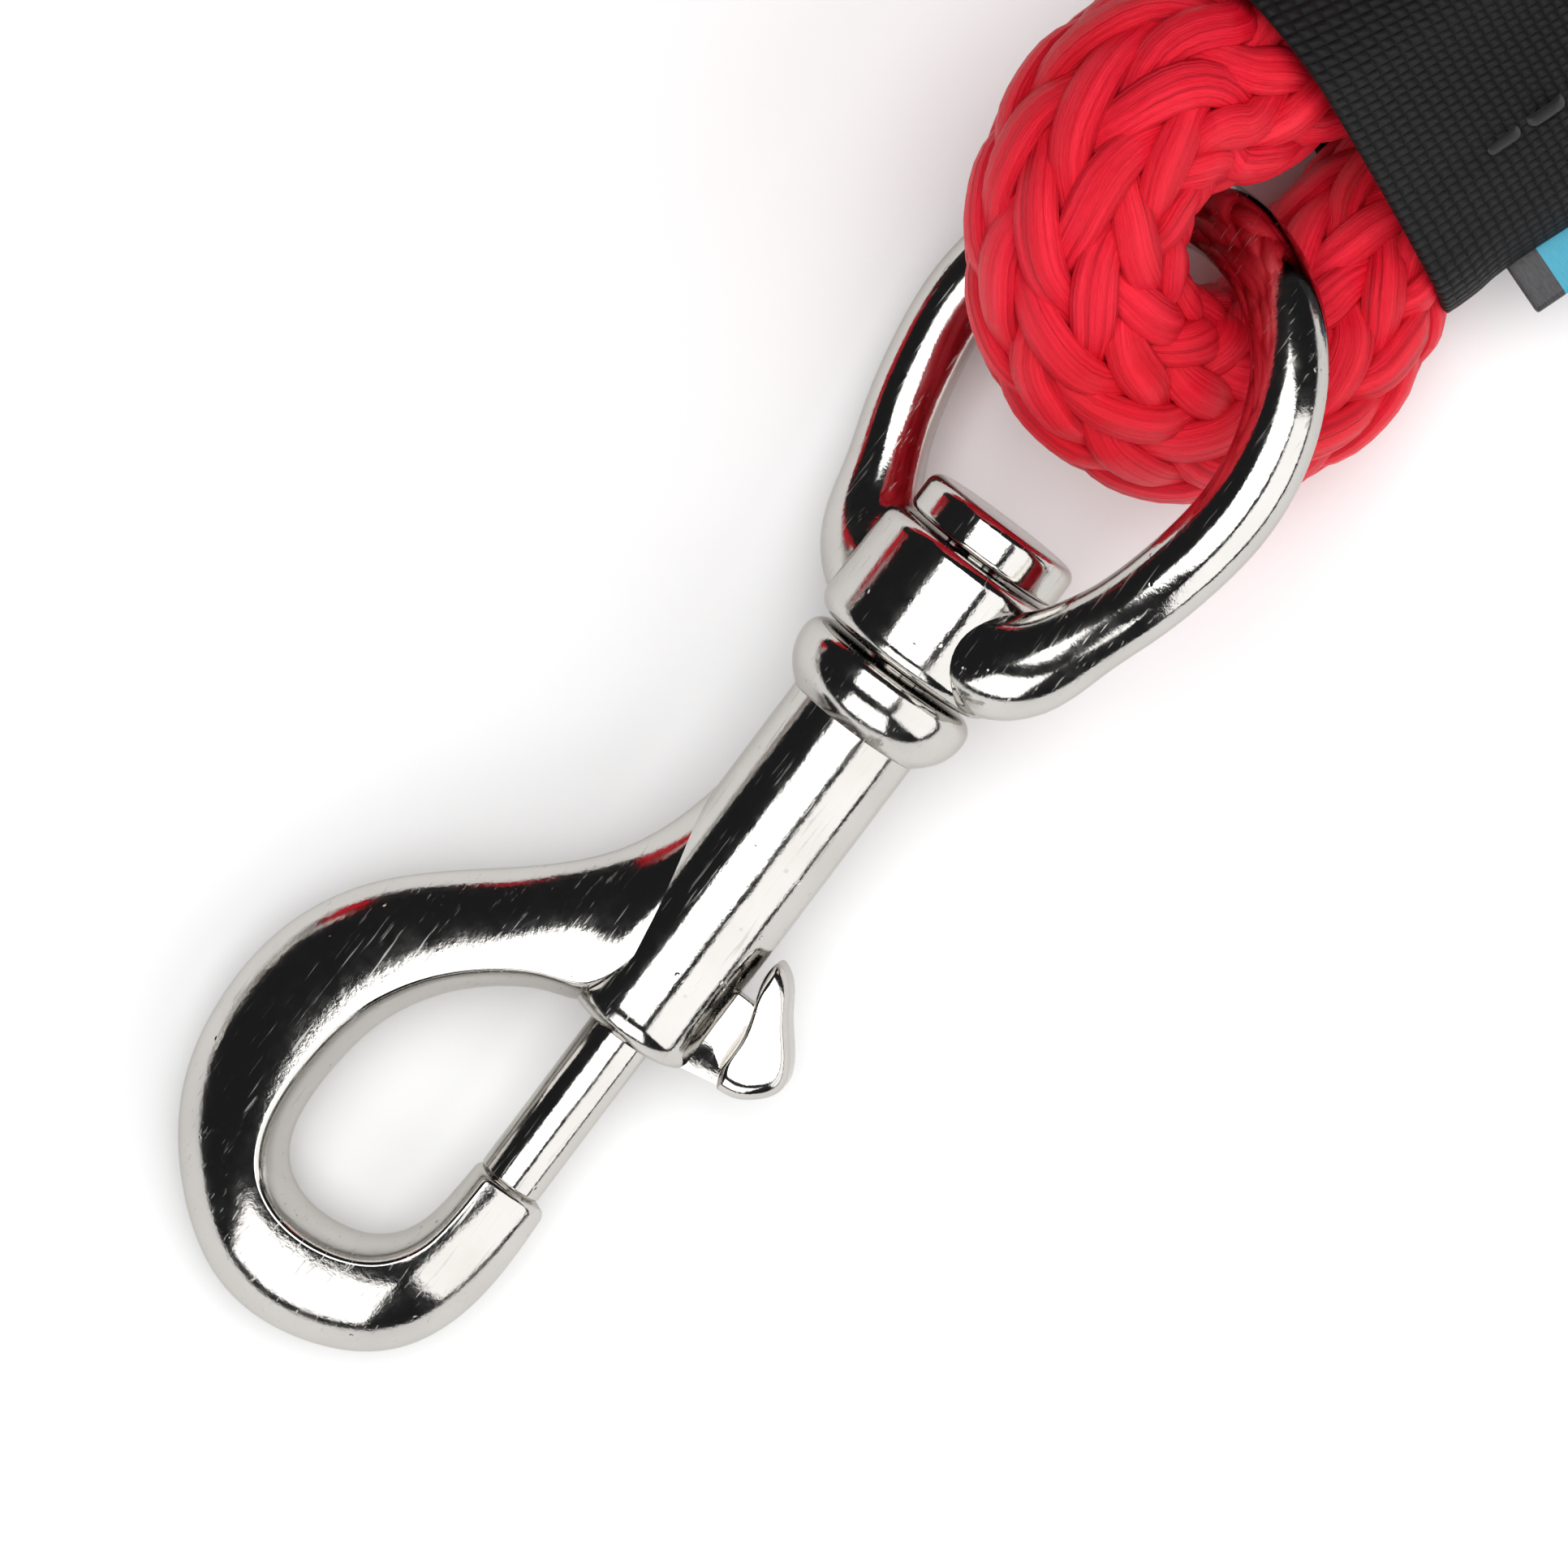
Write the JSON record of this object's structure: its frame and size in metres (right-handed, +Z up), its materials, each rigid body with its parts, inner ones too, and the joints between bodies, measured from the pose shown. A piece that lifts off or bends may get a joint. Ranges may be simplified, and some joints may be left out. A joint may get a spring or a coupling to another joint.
{
  "type": "barrier rope",
  "caption": "Braided barrier rope with a sewn eye and a swivel bolt snap hook at each end, laid out with its free length coiled.",
  "frame": {"origin": "on the floor, under the middle of the box round both ends' fittings", "axes": "+X along the first snap towards its rope, in plan, +Z up, rope lying on the floor at z = 0"},
  "size_m": [0.3655, 0.2093, 0.0328],
  "materials": {
    "nickel_casting": "bright nickel plate",
    "nickel_turned": "bright nickel plate",
    "nickel_bolt": "bright nickel plate",
    "spring_wire": "spring steel",
    "red_braid": "glossy multifilament braid",
    "black_webbing": "coarse woven webbing",
    "black_thread": "sewing thread",
    "label_satin": "satin ribbon"
  },
  "bodies": {
    "rope": {"rope_eye_a": "red_braid", "webbing_sleeve_a": "black_webbing", "sleeve_stitching_a": "black_thread", "rope_eye_b": "red_braid", "webbing_sleeve_b": "black_webbing", "sleeve_stitching_b": "black_thread", "label": "label_satin", "rope_lead_a": "red_braid", "rope_coil": "red_braid", "rope_lead_b": "red_braid"},
    "swivel_a": {"swivel_eye_a": "nickel_casting"},
    "hook_a": {"hook_body_a": "nickel_casting", "swivel_pin_a": "nickel_turned", "bolt_spring_a": "spring_wire"},
    "plunger_a": {"bolt_a": "nickel_bolt"},
    "swivel_b": {"swivel_eye_b": "nickel_casting"},
    "hook_b": {"hook_body_b": "nickel_casting", "swivel_pin_b": "nickel_turned", "bolt_spring_b": "spring_wire"},
    "plunger_b": {"bolt_b": "nickel_bolt"}
  },
  "joints": [
    {"name": "swivel_a_swing", "type": "hinge", "parent": "rope", "child": "swivel_a", "pos_m": [0.0325, -0.06095, 0.01584], "axis": [0.0644, 0.7986, -0.5984], "range_deg": [-40, 60]},
    {"name": "hook_a_swivel", "type": "hinge", "parent": "swivel_a", "child": "hook_a", "pos_m": [-0.00076, -0.06095, 0.01226], "axis": [0.9943, 0, 0.107], "continuous": true},
    {"name": "bolt_a_slide", "type": "slide", "parent": "hook_a", "child": "plunger_a", "axis": [0.9943, 0, 0.107], "range_m": [0, 0.0128], "stiffness_N_per_m": 450, "springref_m": -0.004, "deforming": ["bolt_spring_a"]},
    {"name": "swivel_b_swing", "type": "hinge", "parent": "rope", "child": "swivel_b", "pos_m": [0.00002, 0.0772, 0.01584], "axis": [-0.1991, 0.7761, -0.5984], "range_deg": [-40, 60]},
    {"name": "hook_b_swivel", "type": "hinge", "parent": "swivel_b", "child": "hook_b", "pos_m": [-0.03143, 0.06637, 0.01226], "axis": [0.9401, 0.3237, 0.107], "continuous": true},
    {"name": "bolt_b_slide", "type": "slide", "parent": "hook_b", "child": "plunger_b", "axis": [0.9401, 0.3237, 0.107], "range_m": [0, 0.0128], "stiffness_N_per_m": 450, "springref_m": -0.004, "deforming": ["bolt_spring_b"]}
  ]
}
